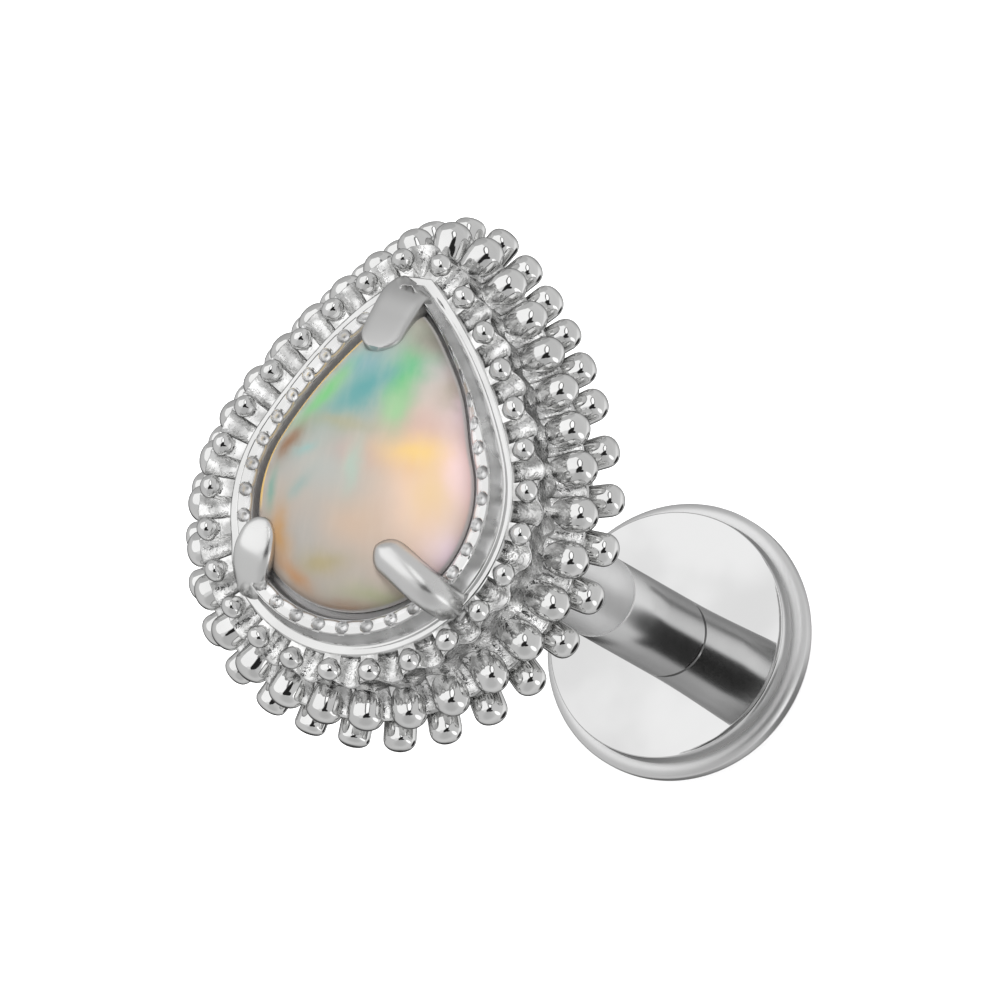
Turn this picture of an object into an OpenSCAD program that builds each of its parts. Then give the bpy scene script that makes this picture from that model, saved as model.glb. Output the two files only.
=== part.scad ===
// Flat back stud: a polished disc with a short barrel, and a pear-shaped setting
// on a stem as thick as the barrel, with a pin that pushes into it. The setting
// is three tiers of round-ended rods stacked round a milled bezel that holds a
// pear cabochon.
// Millimetres. Z runs up the post from the middle of the disc's back face,
// Y points to the tip of the pear.

/* [Disc and post] */
// Diameter of the flat disc
disc_d = 4; // [3.6:0.1:5]
// Thickness of the disc at its polished face
disc_t = 0.76; // [0.7:0.02:1]
// Diameter of the post, which is the barrel and the stem (16 gauge)
post_d = 1.2; // [1.2:0.05:1.6]
// Length of the whole post above the disc
post_l = 8; // [6:0.5:12]
// Length of the barrel, the disc's share of the post
barrel_l = 2.52; // [2.3:0.02:3]

/* [Fit of the top] */
// Diameter of the pin under the stem
pin_d = 0.8; // [0.7:0.02:0.84]
// Length of the pin
pin_l = 1.9; // [1.6:0.1:2]
// Space all round the pin in its socket
fit_gap = 0.03; // [0.02:0.01:0.05]

/* [Pear outline] */
// Radius of the round end, at the middle of the lowest row of beads
pear_w = 3.11; // [3.05:0.01:3.2]
// Radius of the tip, at the same row
pear_t = 1.22; // [1.2:0.01:1.3]
// Distance from the middle of the round end to the middle of the tip
pear_l = 3; // [2.9:0.05:3.2]
// Radius of the long sides
pear_r = 7.3; // [7:0.1:8]

/* [Rows of beads] */
// Beads in the lowest row
low_n = 32; // [30:2:34]
// Beads in the middle row
mid_n = 31; // [29:2:33]
// Beads in the top row
top_n = 27; // [25:2:29]
// Radius of the beads in the lowest row
bead_r = 0.24; // [0.2:0.01:0.26]
// Radius of the beads in the middle row
mid_bead_r = 0.26; // [0.22:0.01:0.27]
// Radius of the beads in the top row
top_bead_r = 0.17; // [0.15:0.01:0.2]

/* [Cabochon] */
// Height of the dome above the edge of the stone
dome_h = 0.8; // [0.7:0.05:1]

/* [Hidden] */
$fn = 96;

seat_gap = 0.02;                    // gap between the stone and the metal
z_face = disc_t;                    // rim of the disc's polished face
z_joint = z_face + barrel_l;        // open end of the barrel
z_post = z_face + post_l;           // top of the stem
z_low = z_post + 1.13;              // middle of the lowest row of beads
z_mid = z_low + 0.44;               // middle row
z_top = z_low + 1.25;               // top row, level with the bezel's edge
z_mill = z_low + 1.55;              // milled band on top of the bezel
d_mid = -0.235;                     // how far each row lies inside the lowest
d_top = -0.69;
d_rim = -0.9;                       // outer edge of the bezel
d_mill = -1.14;                     // outer edge of the milled band
d_lip = -1.36;                      // inner edge of the milled band
d_stone = -1.42;                    // edge of the stone
pear_y = -0.46;                     // middle of the round end, from the post

// the long sides: their middles lie at (-side_k, side_m) and (side_k, side_m)
side_m = (pow(pear_r - pear_w, 2) - pow(pear_r - pear_t, 2) + pow(pear_l, 2))
         / (2 * pear_l);
side_k = sqrt(pow(pear_r - pear_w, 2) - pow(side_m, 2));
a_low = atan2(-side_m, side_k);
a_tip = atan2(pear_l - side_m, side_k);
// angle where a long side ends, for an outline d outside the lowest row
function a_end(d) = pear_t + d > 0 ? a_tip : acos(side_k / (pear_r + d));
function tip_r(d) = max(0, pear_t + d);
// lengths of the three arcs of half an outline
function arc1(d) = (pear_w + d) * (a_low + 90) * PI / 180;
function arc2(d) = (pear_r + d) * (a_end(d) - a_low) * PI / 180;
function arc3(d) = tip_r(d) * (90 - a_tip) * PI / 180;
function half(d) = arc1(d) + arc2(d) + arc3(d);
// place and outward angle [x, y, angle] at the length s from the round end
function half_at(s, d) =
    s < arc1(d)
    ? let (a = -90 + s / (pear_w + d) * 180 / PI)
      [(pear_w + d) * cos(a), (pear_w + d) * sin(a), a]
    : s < arc1(d) + arc2(d) || tip_r(d) == 0
    ? let (a = a_low + (s - arc1(d)) / (pear_r + d) * 180 / PI)
      [(pear_r + d) * cos(a) - side_k, (pear_r + d) * sin(a) + side_m, a]
    : let (a = a_tip + (s - arc1(d) - arc2(d)) / tip_r(d) * 180 / PI)
      [tip_r(d) * cos(a), tip_r(d) * sin(a) + pear_l, a];
// the same at the share u of the whole outline, 0 at the round end, 0.5 at the tip
function at(u, d) =
    u <= 0.5 ? half_at(2 * u * half(d), d)
    : let (p = half_at(2 * (1 - u) * half(d), d)) [-p[0], p[1], 180 - p[2]];

// closed outline, d outside the lowest row
module pear(d, n = 24) {
    side = concat(
        [for (i = [0 : n]) let (a = -90 + (a_low + 90) * i / n)
            (pear_w + d) * [cos(a), sin(a)]],
        [for (i = [1 : n / 2]) let (a = a_low + (a_end(d) - a_low) * 2 * i / n)
            (pear_r + d) * [cos(a), sin(a)] + [-side_k, side_m]],
        tip_r(d) == 0 ? [] :
        [for (i = [1 : n / 4]) let (a = a_tip + (90 - a_tip) * 4 * i / n)
            tip_r(d) * [cos(a), sin(a)] + [0, pear_l]]);
    last = len(side) - 2;           // the tip point is not repeated
    translate([0, pear_y]) polygon(concat(side, [for (i = [last : -1 : 1])
        [-side[i][0], side[i][1]]]));
}

module slab(d, z0, z1) {
    translate([0, 0, z0]) linear_extrude(z1 - z0) pear(d);
}

// rod with a round end, along +X, the end's middle at the origin
module rod(r, back) {
    rotate([0, -90, 0]) rotate_extrude($fn = 32) intersection() {
        union() {
            circle(r);
            square([r, back]);
        }
        translate([0, -r]) square([r, back + r]);
    }
}

// share of the outline for bead i of n: the beads stand closer near the tip
function share(i, n, first, split, far) =
    let (h = min(i + first, n - i - first),
         s = h <= split ? far * h : far * split
             + (0.5 - far * split) * (h - split) / (n / 2 - split))
    i + first <= n / 2 ? s : 1 - s;

module row(n, first, split, far, d, z, r, back) {
    for (i = [0 : n - 1]) {
        p = at(share(i, n, first, split, far), d);
        translate([p[0], p[1] + pear_y, z]) rotate([0, 0, p[2]])
            rod(r, back);
    }
}

// finger from a to b, ending in a ball at each end
module finger(a, b, r) {
    v = b - a;
    l = norm(v);
    translate(a) rotate([0, acos(v[2] / l), atan2(v[1], v[0])]) {
        cylinder(r = r, h = l, $fn = 32);
        sphere(r, $fn = 32);
        translate([0, 0, l]) sphere(r, $fn = 32);
    }
}

module flat_back_post() color("gainsboro") difference() {
    rotate_extrude() polygon(concat(
        [[0, 0], [disc_d / 2 - 0.25, 0]],
        [for (a = [-75 : 15 : 0])
            [disc_d / 2 - 0.25 + 0.25 * cos(a), 0.25 + 0.25 * sin(a)]],
        // the rounded rim, and the step up from it to the raised flat face
        [for (a = [0 : 15 : 90])
            [disc_d / 2 - 0.2 + 0.2 * cos(a), z_face - 0.42 + 0.12 * sin(a)]],
        [[disc_d / 2 - 0.203, z_face - 0.285],
         [disc_d / 2 - 0.209, z_face - 0.015],
         [disc_d / 2 - 0.224, z_face],
         [post_d / 2, z_face],
         [post_d / 2, z_joint - 0.02],
         [post_d / 2 - 0.02, z_joint],
         [0, z_joint]]));
    translate([0, 0, z_joint - pin_l - 0.25])
        cylinder(d = pin_d + 2 * fit_gap, h = pin_l + 1, $fn = 48);
}

// where the round dome of the stone's CAD form is struck from
dome_r = 3.3;
stone_mid = 0.07;
z_seat = z_top - 0.3;
z_girdle = z_top + 0.04;
z_dome = z_girdle + dome_h;

module stone(grow) {
    slab(d_stone + grow, z_seat - grow, z_girdle + grow);
    intersection() {
        slab(d_stone - 0.05 + grow, z_girdle - 0.1, z_dome + 1);
        translate([0, stone_mid, z_dome - dome_r])
            sphere(dome_r + grow);
    }
}

module opal() color("lightpink") stone(0);

module setting() color("silver") difference() {
    union() {
        // pin, stem and boss under the back plate
        translate([0, 0, z_joint - pin_l]) cylinder(d = pin_d, h = pin_l + 1);
        translate([0, 0, z_joint + seat_gap])
            cylinder(d = post_d, h = z_low - z_joint - 0.3);
        translate([0, 0, z_post + seat_gap])
            cylinder(d = post_d + 0.5, h = z_low - 0.4 - z_post);
        // back plate, then the wall and the lip of each tier
        slab(-0.42, z_low - 0.42, z_low + 0.1);
        slab(-0.3, z_low - 0.2, z_low - 0.06);
        slab(-0.6, z_low - 0.1, z_mid + 0.18);
        slab(-0.27, z_low, z_mid - 0.1);
        slab(-0.17, z_mid - 0.16, z_mid - 0.03);
        slab(-0.59, z_mid, z_top - 0.1);
        slab(-0.52, z_top - 0.19, z_top - 0.07);
        // bezel: edge, then the milled band, open over the stone's edge
        difference() {
            union() {
                slab(d_rim, z_mid + 0.2, z_top);
                slab(d_mill, z_mid + 0.4, z_mill);
            }
            slab(d_lip, z_girdle, z_mill + 0.1);
        }
        row(low_n, 0, 10, 0.0337, 0, z_low, bead_r, 0.6);
        row(mid_n, 0.5, 8.5, 0.0338, d_mid, z_mid, mid_bead_r, 0.6);
        row(top_n, 0, 13.5, 0.5 / 13.5, d_top, z_top, top_bead_r, 0.3);
        // prongs over the tip and over both shoulders of the round end
        finger([0.14, 2.45, z_low + 1.35], [0.07, 1.74, z_low + 1.73], 0.2);
        finger([-1.43, -1.82, z_low + 1.35], [-1.28, -1.2, z_low + 1.68], 0.19);
        finger([1.7, -1.79, z_low + 1.35], [1.45, -1.64, z_low + 1.72], 0.2);
        finger([1.45, -1.64, z_low + 1.72], [0.85, -1.31, z_low + 1.78], 0.2);
    }
    // seat for the stone, with its gap
    stone(seat_gap);
}

flat_back_post();
setting();
opal();
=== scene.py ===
"""Flat back stud: a mirror-polished disc and post under a pear opal in tiers of round-ended rods.

Shapes are worked out in millimetres in the part's own frame (Z up the post, Y to the tip of the pear)
and written to the meshes in metres.
"""

import math

import bpy
import bmesh
import numpy as np
from mathutils import Matrix, Vector


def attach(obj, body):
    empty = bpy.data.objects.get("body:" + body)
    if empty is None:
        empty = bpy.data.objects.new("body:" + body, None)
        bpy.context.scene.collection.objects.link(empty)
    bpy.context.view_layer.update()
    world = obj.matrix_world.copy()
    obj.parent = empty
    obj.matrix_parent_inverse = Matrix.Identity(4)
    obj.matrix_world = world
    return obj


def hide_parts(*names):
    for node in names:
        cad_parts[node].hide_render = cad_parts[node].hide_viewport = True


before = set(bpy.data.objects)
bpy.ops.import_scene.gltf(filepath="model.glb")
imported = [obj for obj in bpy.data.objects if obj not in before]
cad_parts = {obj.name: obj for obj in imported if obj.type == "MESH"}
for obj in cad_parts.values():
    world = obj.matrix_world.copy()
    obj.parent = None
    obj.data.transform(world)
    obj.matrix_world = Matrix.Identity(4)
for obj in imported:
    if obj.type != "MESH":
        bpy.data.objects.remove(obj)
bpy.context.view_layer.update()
MM = 0.001

# ---------------------------------------------------------------- sizes, as in the part
Z_FACE = 0.76
Z_JOINT = Z_FACE + 2.52
Z_POST = Z_FACE + 8.0
Z_LOW = Z_POST + 1.13
Z_MID = Z_LOW + 0.44
Z_TOP = Z_LOW + 1.25
Z_MILL = Z_LOW + 1.55
W, T, L, R, PY = 3.11, 1.22, 3.0, 7.3, -0.46
M = ((R - W) ** 2 - (R - T) ** 2 + L * L) / (2 * L)
K = math.sqrt((R - W) ** 2 - M * M)
A_LOW = math.atan2(-M, K)
A_TIP = math.atan2(L - M, K)
D_MID, D_TOP = -0.195, -0.64

TO_CAMERA = Vector((0.4298, -0.1463, 0.8910)).normalized()
IMAGE_RIGHT = Vector((0.892, 0.2191, -0.3945)).normalized()


# ---------------------------------------------------------------- the pear outline
def a_end(d):
    return A_TIP if T + d > 0 else math.acos(K / (R + d))


def arcs(d):
    tip = max(0.0, T + d)
    return ((W + d) * (A_LOW + math.pi / 2), (R + d) * (a_end(d) - A_LOW), tip * (math.pi / 2 - A_TIP))


def half_at(s, d):
    """Place and outward angle at the length s from the round end, along half the outline d."""
    a1, a2, a3 = arcs(d)
    if s < a1:
        a = -math.pi / 2 + s / (W + d)
        return (W + d) * math.cos(a), (W + d) * math.sin(a), a
    if s < a1 + a2 or a3 == 0:
        a = A_LOW + (s - a1) / (R + d)
        return (R + d) * math.cos(a) - K, (R + d) * math.sin(a) + M, a
    a = A_TIP + (s - a1 - a2) / (T + d)
    return (T + d) * math.cos(a), (T + d) * math.sin(a) + L, a


def at(u, d):
    """The same at the share u of the whole outline: 0 at the round end, 0.5 at the tip."""
    u = u % 1.0
    h = sum(arcs(d))
    if u <= 0.5:
        x, y, a = half_at(2 * u * h, d)
        return x, y + PY, a
    x, y, a = half_at(2 * (1 - u) * h, d)
    return -x, y + PY, math.pi - a


def share(i, n, first, split, far):
    """Share of the outline for bead i of n: the beads stand closer near the tip."""
    h = min(i + first, n - i - first)
    s = far * h if h <= split else far * split + (0.5 - far * split) * (h - split) / (n / 2 - split)
    return s if i + first <= n / 2 else 1 - s


def stations(n, d):
    """n angles' worth of stations along the right half at equal lengths of the outline d, as (arc, angle)."""
    a1, a2, a3 = arcs(d)
    h = a1 + a2 + a3
    out = []
    for i in range(n + 1):
        s = h * i / n
        if s < a1:
            out.append((0, -math.pi / 2 + s / (W + d)))
        elif s < a1 + a2 or a3 == 0:
            out.append((1, A_LOW + (s - a1) / (R + d)))
        else:
            out.append((2, A_TIP + (s - a1 - a2) / (T + d)))
    return out


def place(st, d):
    """The point of station st on the outline d. Past the corner of a sharp tip it stays at the corner."""
    arc, a = st
    if arc == 0:
        return (W + d) * math.cos(a), (W + d) * math.sin(a) + PY
    x, y = (R + d) * math.cos(a) - K, (R + d) * math.sin(a) + M
    if arc == 2 and T + d > 0:
        return (T + d) * math.cos(a), (T + d) * math.sin(a) + L + PY
    if arc == 2 or x < 0:
        if T + d > 0:
            return (T + d) * math.cos(a), (T + d) * math.sin(a) + L + PY
        return 0.0, M + math.sqrt((R + d) ** 2 - K * K) + PY
    return x, y + PY


def smooth(lo, hi, v):
    t = min(1.0, max(0.0, (v - lo) / (hi - lo)))
    return t * t * (3 - 2 * t)


def left_in(x, y):
    """The bezel's left side lies a little further in."""
    return smooth(0.6, 2.0, -x) * smooth(-1.9, -1.2, y)


def blunt(x, y, left=0.11, low=0.0):
    """The stone and the lip round it are fuller on the right side of the tip."""
    dx = 0.19 * smooth(0.3, 1.5, y) * smooth(-0.45, 0.35, x) + left * left_in(x, y)
    return x + dx, y + 0.09 * smooth(1.3, 2.2, y) + low * smooth(1.2, 2.0, -y)


# ---------------------------------------------------------------- meshes
def build(name, verts, faces, material, body, node, sharp=50):
    me = bpy.data.meshes.new(name)
    me.from_pydata([tuple(c * MM for c in v) for v in verts], [], faces)
    bm = bmesh.new()
    bm.from_mesh(me)
    bmesh.ops.remove_doubles(bm, verts=bm.verts, dist=2e-7)
    bmesh.ops.dissolve_degenerate(bm, edges=bm.edges, dist=1e-7)
    bmesh.ops.recalc_face_normals(bm, faces=bm.faces)
    bm.to_mesh(me)
    bm.free()
    me.polygons.foreach_set("use_smooth", [True] * len(me.polygons))
    me.set_sharp_from_angle(angle=math.radians(sharp))
    me.materials.append(material)
    ob = bpy.data.objects.new(name, me)
    bpy.context.scene.collection.objects.link(ob)
    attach(ob, body)
    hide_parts(node)
    return ob


class Soup:
    """Vertices and faces of a piece while it is put together."""

    def __init__(self):
        self.v, self.f = [], []

    def add(self, verts, faces):
        k = len(self.v)
        self.v.extend(tuple(p) for p in verts)
        self.f.extend(tuple(i + k for i in f) for f in faces)

    def grid(self, rows, close_across=False, close_along=False):
        """rows of points, joined by quads."""
        n, m = len(rows), len(rows[0])
        faces = []
        for i in range(n if close_along else n - 1):
            for j in range(m if close_across else m - 1):
                a, b = i * m + j, i * m + (j + 1) % m
                c, d = ((i + 1) % n) * m + (j + 1) % m, ((i + 1) % n) * m + j
                faces.append((a, b, c, d))
        self.add([p for r in rows for p in r], faces)

    def turned(self, profile, segments, frame_matrix=None, squash=1.0):
        """A profile of (along, radius) turned about +X, closed to a point at each end where radius is 0."""
        rows = []
        for k in range(segments):
            a = 2 * math.pi * k / segments
            row = []
            for x, r in profile:
                p = Vector((x, r * math.cos(a), r * math.sin(a) * squash))
                row.append(tuple(frame_matrix @ p) if frame_matrix else tuple(p))
            rows.append(row)
        self.grid(rows, close_along=True)


def swept(soup, profile, n, d_ref, shape=None, push=None):
    """A closed profile of (d, z) carried round the pear. shape(u, k, d, z) may move a point in the profile,
    and push(k, x, y) may then move it in the plane."""
    st = stations(n, d_ref)
    cols = []
    for side in (1, -1):
        run = list(enumerate(st)) if side == 1 else list(enumerate(st))[-2:0:-1]
        for i, s in run:
            u = 0.5 * i / n if side == 1 else 1 - 0.5 * i / n
            col = []
            for k, (d, z) in enumerate(profile):
                if shape:
                    d, z = shape(u, k, d, z)
                x, y = place(s, d)
                x *= side
                if push:
                    x, y = push(k, x, y)
                col.append((x, y, z))
            cols.append(col)
    soup.grid(cols, close_across=True, close_along=True)


def arc_pts(cx, cy, r, a0, a1, n):
    return [(cx + r * math.cos(math.radians(a0 + (a1 - a0) * i / n)), cy + r * math.sin(math.radians(a0 + (a1 - a0) * i / n))) for i in range(n + 1)]


# ---------------------------------------------------------------- node helpers
class Nodes:
    def __init__(self, tree):
        self.t = tree
        tree.nodes.clear()

    def new(self, kind, **props):
        n = self.t.nodes.new(kind)
        for k, v in props.items():
            setattr(n, k, v)
        return n

    def link(self, a, b):
        self.t.links.new(a, b)

    def put(self, socket, value):
        if isinstance(value, bpy.types.NodeSocket):
            self.link(value, socket)
        else:
            socket.default_value = value

    def math(self, op, a, b=None, clamp=False):
        n = self.new("ShaderNodeMath", operation=op, use_clamp=clamp)
        self.put(n.inputs[0], a)
        if b is not None:
            self.put(n.inputs[1], b)
        return n.outputs[0]

    def ramp(self, value, lo, hi, a=0.0, b=1.0, smooth=True):
        n = self.new("ShaderNodeMapRange", interpolation_type="SMOOTHSTEP" if smooth else "LINEAR")
        n.clamp = True
        self.put(n.inputs[0], value)
        n.inputs[1].default_value, n.inputs[2].default_value = lo, hi
        n.inputs[3].default_value, n.inputs[4].default_value = a, b
        return n.outputs[0]

    def mix(self, fac, a, b):
        n = self.new("ShaderNodeMix", data_type="RGBA")
        self.put(n.inputs[0], fac)
        self.put(n.inputs[6], a if isinstance(a, bpy.types.NodeSocket) else (*a, 1.0))
        self.put(n.inputs[7], b if isinstance(b, bpy.types.NodeSocket) else (*b, 1.0))
        return n.outputs[2]

    def noise(self, vec, scale, detail=2.0, rough=0.5, distortion=0.0):
        n = self.new("ShaderNodeTexNoise")
        self.put(n.inputs["Vector"], vec)
        n.inputs["Scale"].default_value = scale
        n.inputs["Detail"].default_value = detail
        n.inputs["Roughness"].default_value = rough
        n.inputs["Distortion"].default_value = distortion
        return n


def material(name):
    m = bpy.data.materials.new(name)
    m.use_nodes = True
    return m, Nodes(m.node_tree)


def metal(name, base, dark, rough_lo, rough_hi, bump, grain, zone=None, satin_below=None, metallic=1.0):
    """Polished white metal with a faint cloudiness between the base and dark colours (in the cast between the rods it
    is deep, and partly painted shade), hairline marks and a little unevenness.
    zone = (lowest, highest, roughness, colour): a belt of heights in millimetres with its own finish.
    satin_below = (height, roughness added under it)."""
    m, n = material(name)
    out = n.new("ShaderNodeOutputMaterial")
    b = n.new("ShaderNodeBsdfPrincipled")
    geo = n.new("ShaderNodeTexCoord").outputs["Object"]
    cloud = n.noise(geo, grain, 3.0).outputs["Fac"]
    tint = n.ramp(cloud, 0.35, 0.65)
    colour = n.mix(tint, dark, base)
    rough = n.ramp(cloud, 0.3, 0.7, rough_hi, rough_lo)
    if zone:
        sep = n.new("ShaderNodeSeparateXYZ")
        n.link(geo, sep.inputs[0])
        lo, hi, value, shade = zone
        belt = n.math("MULTIPLY", n.ramp(sep.outputs[2], (lo - 0.012) * MM, lo * MM), n.ramp(sep.outputs[2], hi * MM, (hi + 0.012) * MM, 1.0, 0.0))
        away = n.math("SUBTRACT", 1.0, belt)
        own = n.math("MULTIPLY", belt, n.ramp(cloud, 0.3, 0.7, value * 1.25, value * 0.85))
        rough = n.math("ADD", n.math("MULTIPLY", rough, away), own)
        colour = n.mix(belt, colour, n.mix(tint, tuple(0.86 * c for c in shade), shade))
        if satin_below:
            edge, more = satin_below
            rough = n.math("ADD", rough, n.ramp(sep.outputs[2], (edge - 0.03) * MM, edge * MM, more, 0.0))
    n.link(colour, b.inputs["Base Color"])
    n.link(rough, b.inputs["Roughness"])
    b.inputs["Metallic"].default_value = metallic
    b.inputs["Specular Tint"].default_value = (0.3, 0.3, 0.3, 1.0)
    fine = n.noise(geo, grain * 4.0, 2.0).outputs["Fac"]
    bp = n.new("ShaderNodeBump")
    bp.inputs["Strength"].default_value = bump
    bp.inputs["Distance"].default_value = 0.00002
    n.link(fine, bp.inputs["Height"])
    n.link(bp.outputs["Normal"], b.inputs["Normal"])
    n.link(b.outputs["BSDF"], out.inputs["Surface"])
    return m


MIRROR = metal("mirror_polish", (0.76, 0.76, 0.76), (0.745, 0.745, 0.745), 0.012, 0.03, 0.0, 500)
# the disc and post are brushed smooth; the disc's flat face, a thin belt at its height, is a mirror
DISC = metal("disc_polish", (0.79, 0.79, 0.79), (0.77, 0.77, 0.77), 0.19, 0.22, 0.0, 500, zone=(0.742, 0.78, 0.012, (0.76, 0.76, 0.76)), satin_below=(0.49, 0.17))
CAST = metal("cast_polish", (0.83, 0.83, 0.825), (0.76, 0.76, 0.755), 0.03, 0.09, 0.20, 1200)
PRONG = metal("prong_polish", (0.80, 0.80, 0.795), (0.77, 0.77, 0.765), 0.25, 0.29, 0.02, 900)
# the stem is satin, so a little of its light is scattered
STEM = metal("stem_satin", (0.88, 0.88, 0.88), (0.82, 0.82, 0.82), 0.36, 0.42, 0.03, 900, metallic=0.86)
# the bezel is bright but for the rougher wall under its milled band
BEZEL = metal("bezel_polish", (0.78, 0.78, 0.775), (0.72, 0.72, 0.715), 0.03, 0.08, 0.10, 1400, zone=(Z_TOP + 0.03, Z_MILL - 0.035, 0.30, (0.95, 0.95, 0.95)))
# the tip blade is satin, and its colour is darkened below the rest of the setting: painted shade
BLADE_SATIN_SHADED = metal("blade_satin_painted_shade", (0.66, 0.66, 0.655), (0.63, 0.63, 0.625), 0.34, 0.38, 0.02, 900)
INNER = metal("inner_wall", (0.90, 0.90, 0.91), (0.82, 0.82, 0.83), 0.42, 0.52, 0.10, 1400)
# the tiers and core are mottled cast metal; the deep dark of the mottling is partly painted shade for the occlusion
# between the rods
CAST_MOTTLE_AND_SHADE = metal("cast_mottle_and_painted_shade", (0.93, 0.93, 0.925), (0.52, 0.52, 0.515), 0.12, 0.28, 0.75, 4200)

# ---------------------------------------------------------------- disc and post
EDGE = 0.25
profile = [(0.0, 0.0), (2.0 - EDGE, 0.0)]
profile += arc_pts(2.0 - EDGE, EDGE, EDGE, -90, 0, 14)[1:]
profile += [(1.80 + 0.2 * math.cos(math.radians(t)), 0.34 + 0.12 * math.sin(math.radians(t))) for t in range(0, 91, 6)]
profile += [(1.797, 0.475), (1.794, 0.60), (1.791, 0.735), (1.787, 0.750), (1.776, 0.758)]
# the face is dished by a hundredth of a millimetre
profile += [(r, Z_FACE - 0.021 * (1 - ((r - 0.6) / 1.168) ** 2)) for r in (1.768, 1.72, 1.65, 1.55, 1.45, 1.35, 1.25, 1.15, 1.05, 0.95, 0.85, 0.75, 0.65, 0.603)]
profile += [(0.584, Z_FACE - 0.021), (0.584, Z_FACE + 0.004), (0.60, Z_FACE + 0.022)]
profile += [(0.60, z) for z in (0.80, 1.2, 2.0, Z_JOINT - 0.02)]
profile += arc_pts(0.58, Z_JOINT - 0.02, 0.02, 0, 90, 3)[1:]
profile += [(0.43, Z_JOINT), (0.43, Z_JOINT - 2.15), (0.0, Z_JOINT - 2.15)]
post = Soup()
rows = []
SEG = 360
for k in range(SEG):
    a = 2 * math.pi * k / SEG
    rows.append([(r * math.cos(a), r * math.sin(a), z) for r, z in profile])
post.grid(rows, close_along=True)
build("disc_and_post", post.v, post.f, DISC, "post", "flat_back_post", sharp=24)

# ---------------------------------------------------------------- rods with round ends
def jitter(i, k):
    """A fixed small unevenness between -1 and 1 for bead i."""
    v = math.sin(12.9898 * (i + 1) + 78.233 * (k + 1)) * 43758.5453
    return 2.0 * (v - math.floor(v)) - 1.0


def along(table, u):
    """Value at the share u of the outline, straight between the entries of table."""
    u = u % 1.0
    pts = list(table) + [(1.0, table[0][1])]
    for (a, va), (b, vb) in zip(pts, pts[1:]):
        if a <= u <= b:
            return va + (vb - va) * (u - a) / (b - a)
    return pts[-1][1]


def rod(soup, u, d_mid, d_end, z, r, back, r_back, i, power=2.0, segments=30):
    """A rod that runs outwards at the share u, with an oval end and a little hand-finished unevenness."""
    x, y, a = at(u, d_mid)
    cap = d_end - d_mid
    r = r * (1 + 0.035 * jitter(i, 1))
    m = (Matrix.Translation((x, y, z + 0.012 * jitter(i, 2))) @ Matrix.Rotation(a + math.radians(3.0 * jitter(i, 3)), 4, "Z")
         @ Matrix.Rotation(math.radians(3.0 * jitter(i, 4)), 4, "Y"))
    profile = [(-back, 0.0), (-back, r_back)]
    profile += [(-back * (1 - t), r_back + (r - r_back) * math.sin(t * math.pi / 2)) for t in (0.3, 0.55, 0.75, 0.9)]
    steps = 13
    for k in range(steps + 1):
        t = math.pi / 2 * k / steps
        c, q = math.cos(t), math.sin(t)
        profile.append((cap * q ** (2 / power), r * c ** (2 / power) if k < steps else 0.0))
    rows = []
    for k in range(segments):
        t = 2 * math.pi * k / segments
        row = []
        for px, pr in profile:
            w = 1 + 0.02 * math.sin(2 * t + 6 * jitter(i, 5)) + 0.015 * math.sin(3 * t + 5 * px + 6 * jitter(i, 6))
            p = Vector((px, pr * w * math.cos(t), pr * w * math.sin(t) * 0.98))
            row.append(tuple(m @ p))
        rows.append(row)
    soup.grid(rows, close_along=True)


LOW, MID, TOP = (32, 0, 10, 0.0337), (31, 0.5, 8.5, 0.0338), (27, 0, 13.5, 0.5 / 13.5)
# how far each row's ends stand out from the lowest row's middle line, round the pear from the round end
LOW_END = ((0.0, 0.14), (0.04, 0.19), (0.08, 0.22), (0.30, 0.225), (0.37, 0.24), (0.45, 0.21), (0.5, 0.165), (0.58, 0.14), (0.7, 0.15), (0.8, 0.17), (0.9, 0.17), (0.96, 0.14))
MID_END = ((0.0, -0.03), (0.06, 0.01), (0.1, 0.035), (0.42, 0.04), (0.5, 0.0), (0.6, -0.035), (0.9, -0.035), (0.96, -0.03))
LOW_R, MID_R, TOP_R = 0.235, 0.26, 0.168
D_LOW, D_MIDROW, D_TOPROW = 0.0, -0.235, -0.69
rods = Soup()
for i in range(LOW[0]):
    u = share(i, *LOW)
    rod(rods, u, D_LOW, along(LOW_END, u), Z_LOW, LOW_R, 0.5, 0.225, i, power=2.25)
for i in range(MID[0]):
    u = share(i, *MID)
    rod(rods, u, D_MIDROW, along(MID_END, u), Z_MID, MID_R, 0.42, 0.20, i + 40)
for i in range(TOP[0]):
    u = share(i, *TOP)
    rod(rods, u, D_TOPROW, D_TOPROW + 0.155, Z_TOP, TOP_R, 0.16, 0.06, i + 80)
build("bead_rods", rods.v, rods.f, CAST, "top", "setting", sharp=60)


# ---------------------------------------------------------------- tiers between the rods
def beat(u, n, first, split, far):
    """Where u stands between two beads, from 0 at a bead to 1 half way, and the local distance between beads."""
    s = min(u, 1 - u)
    at_split = far * split
    rate = 1 / far if s <= at_split else (n / 2 - split) / (0.5 - at_split)
    h = s / far if s <= at_split else split + (s - at_split) * rate
    h -= first
    f = abs(h - round(h)) * 2
    return f, rate


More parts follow.
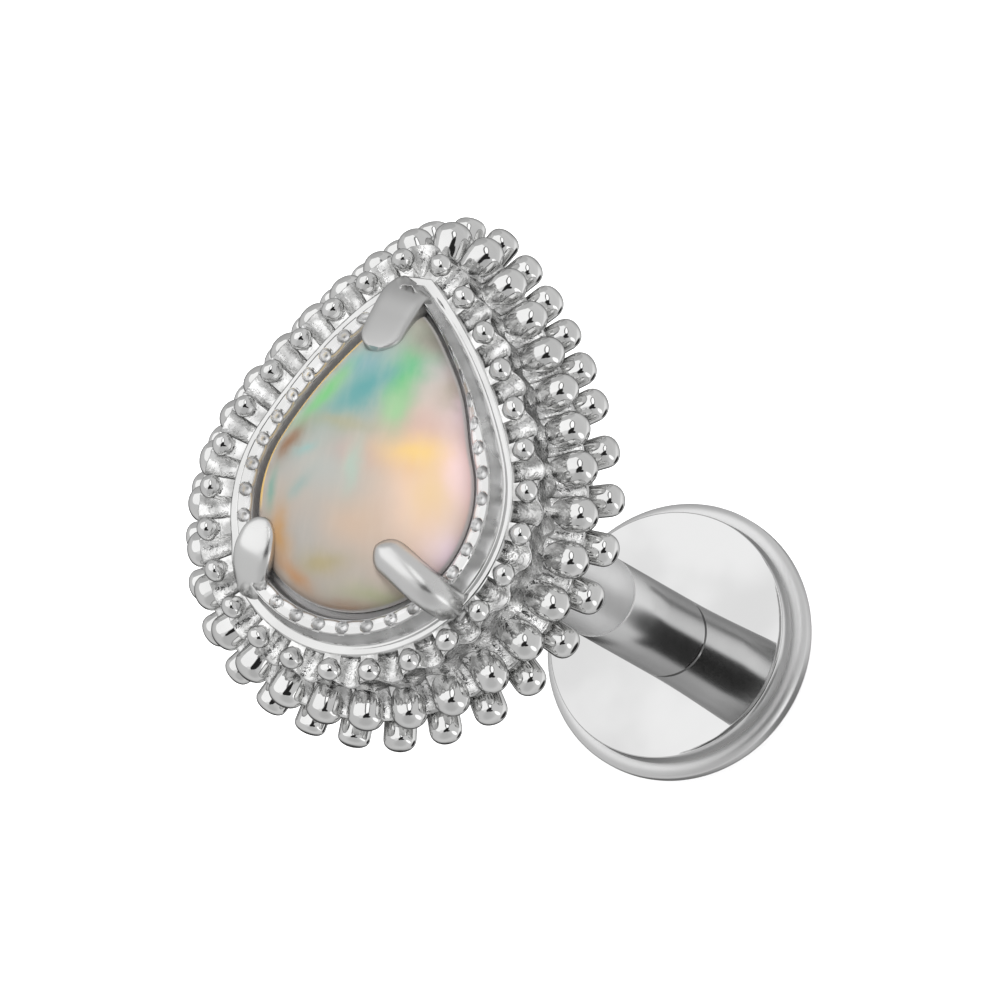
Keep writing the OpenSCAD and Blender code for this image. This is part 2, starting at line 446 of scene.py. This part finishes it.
def tier(name, n_st, count, d_row, r, z_c, depth, d_in, lip_bead, lip_mid, edge, wall, rise=0.0):
    """A collar: round channels between the rods, a thin rounded lip, and the wall under it.
    lip_bead and lip_mid are the lip's offsets at a rod and half way between two; wall is a list of (d, z)."""
    soup = Soup()
    length = 2 * sum(arcs(d_row))
    st = stations(n_st, d_row)
    cols = []
    for side in (1, -1):
        run = list(enumerate(st)) if side == 1 else list(enumerate(st))[-2:0:-1]
        for i, s in run:
            u = 0.5 * i / n_st if side == 1 else 1 - 0.5 * i / n_st
            f, rate = beat(u, *count)
            half = 0.5 * length / rate                  # half the distance between two beads
            lateral = f * half
            free = max(0.04, half - 0.86 * r)
            q = min(1.0, max(0.0, (half - lateral) / free))
            sink = depth * math.sqrt(max(0.0, 1 - q * q))
            bulge = 0.5 - 0.5 * math.cos(math.pi * f)
            lb = along(lip_bead, u) if isinstance(lip_bead, tuple) else lip_bead
            lm = along(lip_mid, u) if isinstance(lip_mid, tuple) else lip_mid
            d_out = lb + (lm - lb) * bulge
            z_lip = z_c - 0.72 * sink
            col = []
            for t in (0.0, 0.06, 0.15, 0.3, 0.45, 0.6, 0.75, 0.88):
                d = d_in + (d_out - edge - d_in) * t
                z = z_c - sink * (0.8 + 0.2 * math.sin(math.pi * min(1.0, t * 1.1))) + rise * (1 - t) ** 1.5
                if t > 0.6:
                    z = z + (z_lip - z) * ((t - 0.6) / 0.4) ** 1.5
                col.append((d, z))
            for k in range(7):
                a = math.pi * (0.5 - k / 6)
                col.append((d_out - edge + edge * math.cos(a), z_lip - edge + edge * math.sin(a)))
            low = z_lip - 2 * edge
            col.append((d_out - edge * 1.6, low - 0.01))
            for k, (dw, zw) in enumerate(wall):
                col.append((min(dw, d_out - edge * 1.2), min(zw, low - 0.03 - 0.01 * k)))
            col.append((d_in, wall[-1][1] - 0.02))
            cols.append([(side * place(s, d)[0], place(s, d)[1], z) for d, z in col])
    soup.grid(cols, close_across=True, close_along=True)
    build(name, soup.v, soup.f, CAST_MOTTLE_AND_SHADE, "top", "setting", sharp=50)


tier("tier_top", 420, TOP, D_TOPROW, TOP_R, Z_TOP - 0.01, 0.15, -1.08, -0.56, -0.475, 0.028,
     [(-0.58, Z_LOW + 0.98), (-0.60, Z_LOW + 0.88), (-0.595, Z_LOW + 0.78), (-0.57, Z_LOW + 0.70), (-0.53, Z_LOW + 0.62), (-0.48, Z_LOW + 0.56)])
MID_LIP = ((0.0, -0.19), (0.1, -0.13), (0.42, -0.13), (0.5, -0.17), (0.6, -0.2), (0.9, -0.2))
tier("tier_middle", 480, MID, D_MIDROW, MID_R, Z_MID + 0.03, 0.07, -0.75, MID_LIP, MID_LIP, 0.045,
     [(-0.24, Z_LOW + 0.20), (-0.28, Z_LOW + 0.12), (-0.29, Z_LOW + 0.05), (-0.28, Z_LOW - 0.02)], rise=0.30)
tier("tier_low", 420, LOW, D_LOW, LOW_R, Z_LOW + 0.0, 0.12, -0.6, -0.28, -0.28, 0.045,
     [(-0.34, Z_LOW - 0.18), (-0.38, Z_LOW - 0.24)], rise=0.10)
tiers = Soup()
# the plain inner wall that the tiers stand on, and the back plate with a rounded edge
wall = [(-0.70, Z_LOW - 0.2), (-0.70, Z_MID + 0.1), (-0.75, Z_MID + 0.25), (-0.95, Z_TOP - 0.12), (-1.4, Z_TOP - 0.12), (-1.4, Z_LOW - 0.2)]
swept(tiers, wall, 200, -0.9)
build("core", tiers.v, tiers.f, CAST_MOTTLE_AND_SHADE, "top", "setting", sharp=50)

plate = Soup()
st = stations(160, -0.5)
prof = [(-0.6, Z_LOW + 0.05), (-0.40, Z_LOW + 0.03), (-0.36, Z_LOW - 0.05), (-0.36, Z_LOW - 0.26)]
prof += [(-0.36 - 0.12 * (1 - math.cos(math.radians(t))), Z_LOW - 0.26 - 0.12 * math.sin(math.radians(t))) for t in (20, 40, 60, 80, 90)]
cols = []
for side in (1, -1):
    run = st if side == 1 else st[-2:0:-1]
    for s in run:
        col = [(side * place(s, d)[0], place(s, d)[1], z) for d, z in prof]
        x, y = place(s, -0.52)
        for t in (0.8, 0.6, 0.4, 0.2, 0.0):
            col.append((side * x * t, (y - 0.2) * t + 0.2, Z_LOW - 0.38 - 0.035 * (1 - t * t)))
        cols.append(col)
plate.grid(cols, close_along=True)
build("back_plate", plate.v, plate.f, CAST, "top", "setting", sharp=40)

pin = Soup()
zb = Z_POST + 0.02
zj = Z_JOINT + 0.02
prof = [(0.0, Z_JOINT - 1.9), (0.34, Z_JOINT - 1.9), (0.40, Z_JOINT - 1.84), (0.40, zj), (0.56, zj)]
prof += arc_pts(0.56, zj + 0.04, 0.04, -60, 0, 4)
prof += [(0.60, 4.0), (0.60, 5.0), (0.60, 6.5), (0.60, zb - 0.04), (0.62, zb), (0.78, zb), (0.85, zb + 0.07), (0.85, Z_LOW - 0.52), (0.92, Z_LOW - 0.44), (1.02, Z_LOW - 0.41), (1.02, Z_LOW - 0.3), (0.0, Z_LOW - 0.3)]
rows = []
for k in range(96):
    a = 2 * math.pi * k / 96
    rows.append([(r * math.cos(a), r * math.sin(a), z) for r, z in prof])
pin.grid(rows, close_along=True)
build("stem_pin_and_boss", pin.v, pin.f, STEM, "top", "setting", sharp=40)

# ---------------------------------------------------------------- bezel with its milled band
bezel = Soup()
prof = [(-1.40, Z_TOP - 0.3), (-0.93, Z_TOP - 0.3), (-0.90, Z_TOP - 0.16)]
prof += arc_pts(-0.945, Z_TOP - 0.045, 0.05, -10, 90, 9)
prof += [(-0.975, Z_TOP + 0.006), (-1.005, Z_TOP + 0.004), (-1.03, Z_TOP + 0.0), (-1.048, Z_TOP + 0.006)]
prof += [(-1.066, Z_TOP + 0.03), (-1.086, Z_TOP + 0.075), (-1.104, Z_TOP + 0.13), (-1.118, Z_TOP + 0.19), (-1.128, Z_TOP + 0.25), (-1.133, Z_MILL - 0.022)]
N_STRIP = 14
strip0 = len(prof)
D_OUT, D_LIP = -1.14, -1.36
prof += [(D_OUT + (D_LIP - D_OUT) * k / N_STRIP, Z_MILL) for k in range(N_STRIP + 1)]
strip1 = len(prof)
prof += [(-1.362, Z_MILL - 0.075)]
N_DIMPLES = 35


def milled(u, k, d, z):
    if k < strip0 or k >= strip1:
        if k == strip1:
            w = 0.5 + 0.5 * math.cos(2 * math.pi * (u * N_DIMPLES - 0.5))
            return d + 0.012 * w, z
        return d, z
    q = (k - strip0) / N_STRIP
    # the band slopes inwards a little and its inner edge is scalloped by the dimples
    zz = z - 0.05 * q
    w = 0.5 + 0.5 * math.cos(2 * math.pi * (u * N_DIMPLES - 0.5))
    edge_in = 0.012 * w * max(0.0, (q - 0.55) / 0.45)
    # round dimples: distance along the band against distance across it
    along = ((u * N_DIMPLES - 0.5 + 0.5) % 1.0 - 0.5) * (12.6 / N_DIMPLES)
    across = (q - 0.5) * 0.22
    rr = math.hypot(along, across) / 0.094
    if rr < 1:
        zz -= 0.088 * (1 - rr ** 8) * (1 - 0.5 * rr * rr) + 0.004
    elif rr < 1.3:
        zz += 0.006 * math.cos((rr - 1) / 0.3 * math.pi / 2)
    # rounded outer and inner edges
    if q < 0.1:
        zz -= 0.025 * (1 - q / 0.1) ** 2
    if q > 0.86:
        zz -= 0.03 * ((q - 0.86) / 0.14) ** 2
    return d + edge_in, zz


def fuller(k, x, y):
    q = 0.0 if k < strip0 else min(1.0, (k - strip0) / N_STRIP)
    bx, by = blunt(x, y, 0.0)
    return x + (bx - x) * q + 0.12 * left_in(x, y), y + (by - y) * q


swept(bezel, prof, 640, -1.24, milled, fuller)
build("bezel", bezel.v, bezel.f, BEZEL, "top", "setting", sharp=55)
# the wall inside it, with a narrow ledge round the stone
inner = Soup()
prof = [(-1.355, Z_MILL - 0.09), (-1.366, Z_MILL - 0.082), (-1.378, Z_TOP + 0.15), (-1.392, Z_TOP + 0.09), (-1.42, Z_TOP + 0.06), (-1.50, Z_TOP + 0.045), (-1.505, Z_TOP + 0.03), (-1.505, Z_TOP - 0.22), (-1.38, Z_TOP - 0.22)]
swept(inner, prof, 300, -1.38, None, lambda k, x, y: blunt(x, y, 0.12))
build("bezel_inner_wall", inner.v, inner.f, INNER, "top", "setting", sharp=50)


# ---------------------------------------------------------------- prongs
def catmull(points, n):
    out = []
    P = [points[0]] + points + [points[-1]]
    for i in range(1, len(P) - 2):
        for k in range(n):
            t = k / n
            out.append(tuple(0.5 * ((2 * b) + (-a + c) * t + (2 * a - 5 * b + 4 * c - d) * t * t + (-a + 3 * b - 3 * c + d) * t ** 3) for a, b, c, d in zip(P[i - 1], P[i], P[i + 1], P[i + 2])))
    out.append(tuple(points[-1]))
    return out


def prong(soup, path, wide, thick, power=2.4, around=36, steps=14, flat=0.35):
    """A finger along path with a flattened section. wide and thick are half sizes at each point of path.
    flat is the share of the thickness that is left at the very end."""
    rows_in = [tuple(p) + (w, t) for p, w, t in zip(path, wide, thick)]
    pts = catmull(rows_in, steps)
    P = [Vector(p[:3]) for p in pts]
    n = len(P)
    # a round end: the last stretch closes like a ball
    total = sum((P[i + 1] - P[i]).length for i in range(n - 1))
    run, rows = 0.0, []
    for i in range(n):
        if i:
            run += (P[i] - P[i - 1]).length
        tan = (P[min(i + 1, n - 1)] - P[max(i - 1, 0)]).normalized()
        side = tan.cross(Vector((0, 0, 1))).normalized()
        up = side.cross(tan).normalized()
        left = total - run
        w, t = pts[i][3], pts[i][4]
        cap = w
        f = math.sqrt(max(0.0, 1 - (1 - left / cap) ** 2)) if left < cap else 1.0
        row = []
        for k in range(around):
            a = 2 * math.pi * k / around
            c, s = math.cos(a), math.sin(a)
            x = math.copysign(abs(c) ** (2 / power), c) * w * f
            y = math.copysign(abs(s) ** (2 / power), s) * t * (flat + (1 - flat) * f)
            if left <= 1e-9:
                x, y = 0.0, y * 0.0
            row.append(tuple(P[i] + side * x + up * y))
        rows.append(row)
    soup.grid(rows, close_across=True)
    k = len(soup.v)
    soup.v.append(tuple(P[0]))
    first = k - n * around
    soup.f.extend((first + (j + 1) % around, first + j, k) for j in range(around))


H = Z_LOW
prongs = Soup()
# over the tip: a flat-topped blade
prong(prongs, [(0.02, 2.52, H + 0.95), (0.01, 2.49, H + 1.20), (-0.02, 2.40, H + 1.42), (-0.06, 2.03, H + 1.615), (-0.10, 1.52, H + 1.84)],
      [0.29, 0.33, 0.34, 0.33, 0.31], [0.15, 0.16, 0.17, 0.165, 0.15], power=6.0, around=48, flat=0.92)
build("prong_tip", prongs.v, prongs.f, BLADE_SATIN_SHADED, "top", "setting", sharp=60)
prongs = Soup()
# left shoulder: a leaf
prong(prongs, [(-1.50, -2.02, H + 0.98), (-1.46, -1.90, H + 1.22), (-1.38, -1.68, H + 1.52), (-1.31, -1.42, H + 1.70), (-1.25, -0.98, H + 1.74)],
      [0.16, 0.22, 0.29, 0.30, 0.22], [0.14, 0.15, 0.15, 0.14, 0.11], power=2.8, around=48)
# right shoulder: a round finger with a ball tip
prong(prongs, [(1.58, -1.72, H + 1.0), (1.57, -1.71, H + 1.34), (1.47, -1.65, H + 1.62), (1.25, -1.53, H + 1.76), (0.95, -1.35, H + 1.82), (0.60, -1.155, H + 1.83)],
      [0.25, 0.26, 0.27, 0.27, 0.265, 0.26], [0.2, 0.21, 0.23, 0.23, 0.23, 0.22], power=1.75, around=48, flat=0.3)
build("prongs", prongs.v, prongs.f, PRONG, "top", "setting", sharp=60)

# ---------------------------------------------------------------- the opal
stone = Soup()
D_STONE = -1.447
Z_GIRDLE = Z_TOP + 0.10
DOME = 0.73
st = stations(150, D_STONE)
cx, cy = 0.0, 0.10
rows = []
levels = [(1.0, Z_TOP - 0.28, 0.0), (1.0, Z_GIRDLE, 0.0)]
for side in (1, -1):
    run = st if side == 1 else st[-2:0:-1]
    for s in run:
        x, y = place(s, D_STONE)
        x, y = blunt(x * side, y, 0.115, 0.05)
        row = [(cx, cy, Z_TOP - 0.28), (x * 0.5, cy + (y - cy) * 0.5, Z_TOP - 0.28), (x * 0.925, cy + (y - cy) * 0.925, Z_TOP - 0.28), (x * 0.925, cy + (y - cy) * 0.925, Z_TOP + 0.01), (x * 0.992, cy + (y - cy) * 0.992, Z_GIRDLE - 0.025), (x, y, Z_GIRDLE)]
        for k in range(1, 41):
            f = math.sin(math.pi / 2 * (1 - k / 40))
            h = DOME * (1 - f ** 2.1) ** (1 / 1.9)
            row.append((cx + (x - cx) * f, cy + (y - cy) * f, Z_GIRDLE + h))
        rows.append(row)
stone.grid(rows, close_along=True)


def opal_material():
    m, n = material("opal_play")
    out = n.new("ShaderNodeOutputMaterial")
    b = n.new("ShaderNodeBsdfPrincipled")
    co = n.new("ShaderNodeTexCoord").outputs["Object"]
    sep = n.new("ShaderNodeSeparateXYZ")
    n.link(co, sep.inputs[0])
    warp = n.noise(co, 1100.0, 4.0, 0.55)
    wsep = n.new("ShaderNodeSeparateColor")
    n.link(warp.outputs["Color"], wsep.inputs[0])
    # place on the stone in millimetres, pushed about a little so that no patch has a drawn edge
    X = n.math("ADD", n.math("MULTIPLY", sep.outputs[0], 1000.0), n.math("MULTIPLY", n.math("SUBTRACT", wsep.outputs[0], 0.5), 0.42))
    Y = n.math("ADD", n.math("MULTIPLY", sep.outputs[1], 1000.0), n.math("MULTIPLY", n.math("SUBTRACT", wsep.outputs[1], 0.5), 0.42))

    def seen(r, g, b):
        """Surface colour that looks like the screen colour r, g, b under the tent's light."""
        return tuple(((v / 255 + 0.055) / 1.055) ** 2.4 / 1.26 for v in (r, g, b))

    col = n.mix(n.ramp(n.noise(co, 700.0, 3.0).outputs["Fac"], 0.35, 0.65), seen(192, 189, 184), seen(203, 190, 178))

    def patch(col, x, y, rx, ry, turn, colour, strength):
        """A soft oval of colour that fades out all the way to its edge."""
        c, s = math.cos(math.radians(turn)), math.sin(math.radians(turn))
        dx, dy = n.math("SUBTRACT", X, x), n.math("SUBTRACT", Y, y)
        a = n.math("ADD", n.math("MULTIPLY", dx, c / rx), n.math("MULTIPLY", dy, s / rx))
        e = n.math("ADD", n.math("MULTIPLY", dx, -s / ry), n.math("MULTIPLY", dy, c / ry))
        q = n.math("ADD", n.math("MULTIPLY", a, a), n.math("MULTIPLY", e, e))
        fade = n.math("POWER", 2.718, n.math("MULTIPLY", q, -1.0))
        return n.mix(n.math("MULTIPLY", fade, strength), col, seen(*colour))

    for row in (
        (1.15, -0.30, 0.75, 1.35, 8, (258, 225, 203), 0.95),        # warm right half
        (-0.35, -0.25, 0.60, 0.50, 0, (197, 203, 199), 0.75),       # grey middle
        (0.75, 0.62, 0.60, 0.32, 0, (224, 190, 182), 0.85),         # pink over the yellow
        (0.10, 0.12, 0.40, 0.22, 0, (210, 184, 180), 0.8),
        (0.95, 0.14, 0.60, 0.34, 0, (248, 206, 162), 0.8),          # yellow
        (0.95, 0.24, 0.50, 0.17, 4, (258, 220, 146), 0.95),
        (1.25, -0.28, 0.30, 0.45, 0, (251, 219, 170), 0.8),         # peach
        (1.54, 0.28, 0.20, 1.10, 12, (270, 236, 238), 0.85),          # pale pink band on the right, brightened past white where the steep edge is shaded: partly painted light
        (1.56, -1.10, 0.30, 0.34, 0, (266, 242, 252), 0.95),         # lilac
        (-0.10, 1.05, 0.95, 0.52, 40, (150, 190, 184), 1.0),        # green and teal at the top
        (-0.30, 1.32, 0.34, 0.26, 0, (142, 184, 194), 0.95),
        (0.44, 1.28, 0.20, 0.50, 0, (126, 210, 136), 1.0),
        (0.48, 0.80, 0.20, 0.28, 0, (172, 216, 166), 0.95),
        (-0.06, 0.96, 0.62, 0.19, 41, (112, 176, 176), 1.0),
        (-0.74, 0.84, 0.54, 0.19, 57, (136, 212, 142), 1.0),
        (-0.26, 0.46, 0.50, 0.12, 4, (186, 184, 156), 0.85),        # khaki under them
        (-1.08, 0.06, 0.34, 0.16, 52, (158, 122, 94), 1.0),       # brown
        (-0.77, 0.00, 0.20, 0.08, 30, (166, 200, 196), 0.9),        # small teal marks
        (-0.76, -0.56, 0.10, 0.24, -30, (164, 190, 186), 0.75),
        (-1.22, -0.58, 0.10, 0.26, 0, (146, 184, 170), 0.95),
        (0.04, -0.08, 0.10, 0.40, -8, (192, 214, 200), 0.8),
        (0.56, 1.90, 0.28, 0.28, 0, (160, 158, 146), 1.0),          # grey tip
        (0.92, 1.84, 0.08, 0.30, 18, (196, 180, 212), 0.7),
        (1.14, 1.26, 0.24, 0.62, 20, (254, 230, 240), 0.9),
        (0.98, 1.20, 0.10, 0.30, 12, (176, 170, 144), 0.6),
        (0.20, -0.92, 0.55, 0.38, 0, (226, 198, 174), 0.8),        # lower half
        (-0.20, -1.52, 0.42, 0.16, 8, (190, 176, 126), 0.75),
        (0.62, -1.80, 0.55, 0.13, 6, (190, 192, 158), 0.9),
        (-0.98, -1.22, 0.18, 0.34, 12, (212, 166, 112), 0.95),
        (-0.70, -1.70, 0.36, 0.12, -28, (208, 160, 118), 0.9),
        (0.10, -2.04, 0.60, 0.09, 4, (190, 156, 132), 0.9),
    ):
        col = patch(col, *row)
    # a thin golden line along the upper left edge
    rim = n.math("MULTIPLY", n.ramp(sep.outputs[2], (Z_GIRDLE + 0.26) * MM, (Z_GIRDLE + 0.31) * MM, 1.0, 0.0), n.ramp(X, -0.55, -0.35, 1.0, 0.0))
    rim = n.math("MULTIPLY", rim, n.ramp(sep.outputs[2], (Z_GIRDLE + 0.17) * MM, (Z_GIRDLE + 0.20) * MM))
    rim = n.math("MULTIPLY", rim, n.ramp(Y, -0.9, -0.6))
    col = n.mix(rim, col, (0.98, 0.66, 0.22))
    # the edge below it is painted grey: painted shade for the recess between the stone and the bezel wall, seen also
    # in the wall's reflection
    col = n.mix(n.ramp(sep.outputs[2], (Z_GIRDLE + 0.05) * MM, (Z_GIRDLE + 0.12) * MM, 0.9, 0.0), col, (0.62, 0.61, 0.60))
    # fine silky streaks
    silk = n.new("ShaderNodeMapping")
    n.link(co, silk.inputs["Vector"])
    silk.inputs["Scale"].default_value = (1.0, 0.25, 0.6)
    col = n.mix(n.ramp(n.noise(silk.outputs["Vector"], 6000.0, 3.0).outputs["Fac"], 0.4, 0.75, 0.0, 0.10), col, seen(240, 226, 210))
    n.link(col, b.inputs["Base Color"])
    b.inputs["Roughness"].default_value = 0.16
    b.inputs["Coat Weight"].default_value = 0.0
    b.inputs["Specular IOR Level"].default_value = 0.2
    b.inputs["IOR"].default_value = 1.45
    b.inputs["Subsurface Weight"].default_value = 0.0
    n.link(b.outputs["BSDF"], out.inputs["Surface"])
    return m


build("opal_cabochon", stone.v, stone.f, opal_material(), "top", "opal", sharp=60)

# ---------------------------------------------------------------- the CAD nodes, in case they are shown
for name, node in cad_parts.items():
    node.data.materials.clear()
    node.data.materials.append(MIRROR if name == "flat_back_post" else CAST)

# ---------------------------------------------------------------- floor
me = bpy.data.meshes.new("floor")
S = 1.5
me.from_pydata([(-S, -S, 0), (S, -S, 0), (S, S, 0), (-S, S, 0)], [], [(0, 1, 2, 3)])
floor = bpy.data.objects.new("floor", me)
bpy.context.scene.collection.objects.link(floor)
fm, n = material("pale_floor")
out = n.new("ShaderNodeOutputMaterial")
b = n.new("ShaderNodeBsdfPrincipled")
co = n.new("ShaderNodeTexCoord").outputs["Object"]
n.link(n.mix(n.noise(co, 40.0, 2.0).outputs["Fac"], (0.90, 0.90, 0.90), (0.92, 0.92, 0.92)), b.inputs["Base Color"])
b.inputs["Roughness"].default_value = 0.9
b.inputs["Specular IOR Level"].default_value = 0.0
b.inputs["Emission Color"].default_value = (1.0, 1.0, 1.0, 1.0)
b.inputs["Emission Strength"].default_value = 0.6
n.link(b.outputs["BSDF"], out.inputs["Surface"])
me.materials.append(fm)
floor.visible_glossy = False

# ---------------------------------------------------------------- light: a white tent with a lens opening and soft boxes
world = bpy.data.worlds.new("tent")
bpy.context.scene.world = world
world.use_nodes = True
n = Nodes(world.node_tree)
wo = n.new("ShaderNodeOutputWorld")
bg = n.new("ShaderNodeBackground")
direction = n.new("ShaderNodeTexCoord").outputs["Generated"]


def mirror_ball(x, y):
    """The direction that a mirror ball sends to the camera from (x, y) on its face, from -1 to 1 each way."""
    up = TO_CAMERA.cross(IMAGE_RIGHT)
    m = x * IMAGE_RIGHT + y * up + math.sqrt(max(0.0, 1 - x * x - y * y)) * TO_CAMERA
    return 2 * m.dot(TO_CAMERA) * m - TO_CAMERA


def dot(d):
    v = n.new("ShaderNodeVectorMath", operation="DOT_PRODUCT")
    n.link(direction, v.inputs[0])
    v.inputs[1].default_value = Vector(d).normalized()
    return v.outputs["Value"]


def lobe(col, d, inner, outer, value):
    f = n.ramp(dot(d), math.cos(math.radians(outer)), math.cos(math.radians(inner)))
    return n.mix(f, col, (value, value, value))


def oval(col, centre, lengthwise, long_in, long_out, wide_ratio, value):
    """An oval patch: from long_in to long_out degrees along lengthwise, and wide_ratio of that across."""
    c = Vector(centre).normalized()
    e = Vector(lengthwise)
    e = (e - e.dot(c) * c).normalized()
    w = c.cross(e)
    a, b = dot(e), n.math("DIVIDE", dot(w), wide_ratio)
    q = n.math("SQRT", n.math("ADD", n.math("MULTIPLY", a, a), n.math("MULTIPLY", b, b)))
    f = n.ramp(q, math.sin(math.radians(long_in)), math.sin(math.radians(long_out)), 1.0, 0.0)
    f = n.math("MULTIPLY", f, n.ramp(dot(c), 0.0, 0.25))
    return n.mix(f, col, (value, value, value))


def tent():
    sep = n.new("ShaderNodeSeparateXYZ")
    n.link(direction, sep.inputs[0])
    col = n.mix(n.ramp(sep.outputs[2], -0.3, 0.1), (0.68, 0.68, 0.68), (0.64, 0.64, 0.64))
    # under the stud: bright towards the camera's side, dark behind the near edge
    col = lobe(col, (0.44, 0.12, -0.89), 18, 42, 0.98)
    col = lobe(col, (0.43, -0.146, -0.891), 11, 21, 0.03)
    col = lobe(col, (-0.45, -0.25, -0.86), 12, 34, 0.12)
    # above: one large white panel from overhead to the upper left, grey cloth elsewhere
    col = lobe(col, (-0.35, 0.25, 0.90), 38, 42, 1.1)
    col = lobe(col, mirror_ball(-0.27, 0.74), 27, 30, 0.52)
    col = lobe(col, (0.30, -0.66, 0.69), 14, 22, 0.52)
    col = lobe(col, (-0.10, -0.46, 0.88), 5, 15, 0.80)
    # a narrow strip light between two dark gaps, and one low on the right
    col = oval(col, mirror_ball(0.02, 0.27), mirror_ball(0.02, 0.60), 25, 28, 0.58, 0.20)
    col = oval(col, mirror_ball(0.03, 0.27), mirror_ball(0.03, 0.60), 21, 23, 0.42, 1.35)
    col = oval(col, mirror_ball(0.46, -0.30), mirror_ball(0.70, -0.60), 24, 29, 0.40, 1.35)
    # a grey cloth low in front
    col = lobe(col, mirror_ball(-0.05, -0.48), 6, 44, 0.52)
    # the opening for the camera, with the stand's head beside it
    col = oval(col, mirror_ball(-0.03, -0.04), mirror_ball(0.47, 0.50), 21, 25, 0.49, 0.02)
    col = oval(col, mirror_ball(0.01, -0.10), mirror_ball(0.70, -0.12), 19.5, 23, 0.42, 0.02)
    return col


n.link(tent(), bg.inputs["Color"])
bg.inputs["Strength"].default_value = 1.0
n.link(bg.outputs["Background"], wo.inputs["Surface"])

# a soft pool of light round the stud
light = bpy.data.lights.new("key", "SPOT")
light.energy = 3.2
light.shadow_soft_size = 0.06
light.spot_size = math.radians(34)
light.spot_blend = 1.0
lo = bpy.data.objects.new("key", light)
bpy.context.scene.collection.objects.link(lo)
lo.location = Vector((0.08, 0.16, 0.36))
lo.rotation_euler = (Vector((0, 0, 0)) - lo.location).to_track_quat("-Z", "Y").to_euler()
lo.visible_glossy = False

# ---------------------------------------------------------------- camera
DIST = 0.5
PX_PER_MM = 71.2
cam = bpy.data.cameras.new("camera")
co = bpy.data.objects.new("camera", cam)
bpy.context.scene.collection.objects.link(co)
forward = -TO_CAMERA
right = (IMAGE_RIGHT - IMAGE_RIGHT.dot(TO_CAMERA) * TO_CAMERA).normalized()
up = TO_CAMERA.cross(right).normalized()
# the middle of the disc's face is at (667.5, 635.9); the aim is the point under the picture's middle
p0 = Vector((0, 0, Z_FACE)) * MM
aim = p0 + (500 - 667.5) / PX_PER_MM * MM * right - (500 - 635.9) / PX_PER_MM * MM * up
depth = (Vector((0, 0, Z_LOW)) * MM - p0).dot(TO_CAMERA) * 0.5
rot = Matrix((right, up, TO_CAMERA)).transposed()
co.matrix_world = Matrix.Translation(aim + TO_CAMERA * (DIST + depth)) @ rot.to_4x4()
cam.sensor_fit = "HORIZONTAL"
cam.sensor_width = 36.0
cam.lens = 36.0 * DIST / (1000 / PX_PER_MM * MM)
cam.clip_start, cam.clip_end = 0.05, 5.0
bpy.context.scene.camera = co
sc = bpy.context.scene
sc.view_settings.view_transform = "Standard"
sc.view_settings.look = "None"
sc.view_settings.exposure = 0.0
sc.view_settings.gamma = 1.0

bpy.context.view_layer.update()
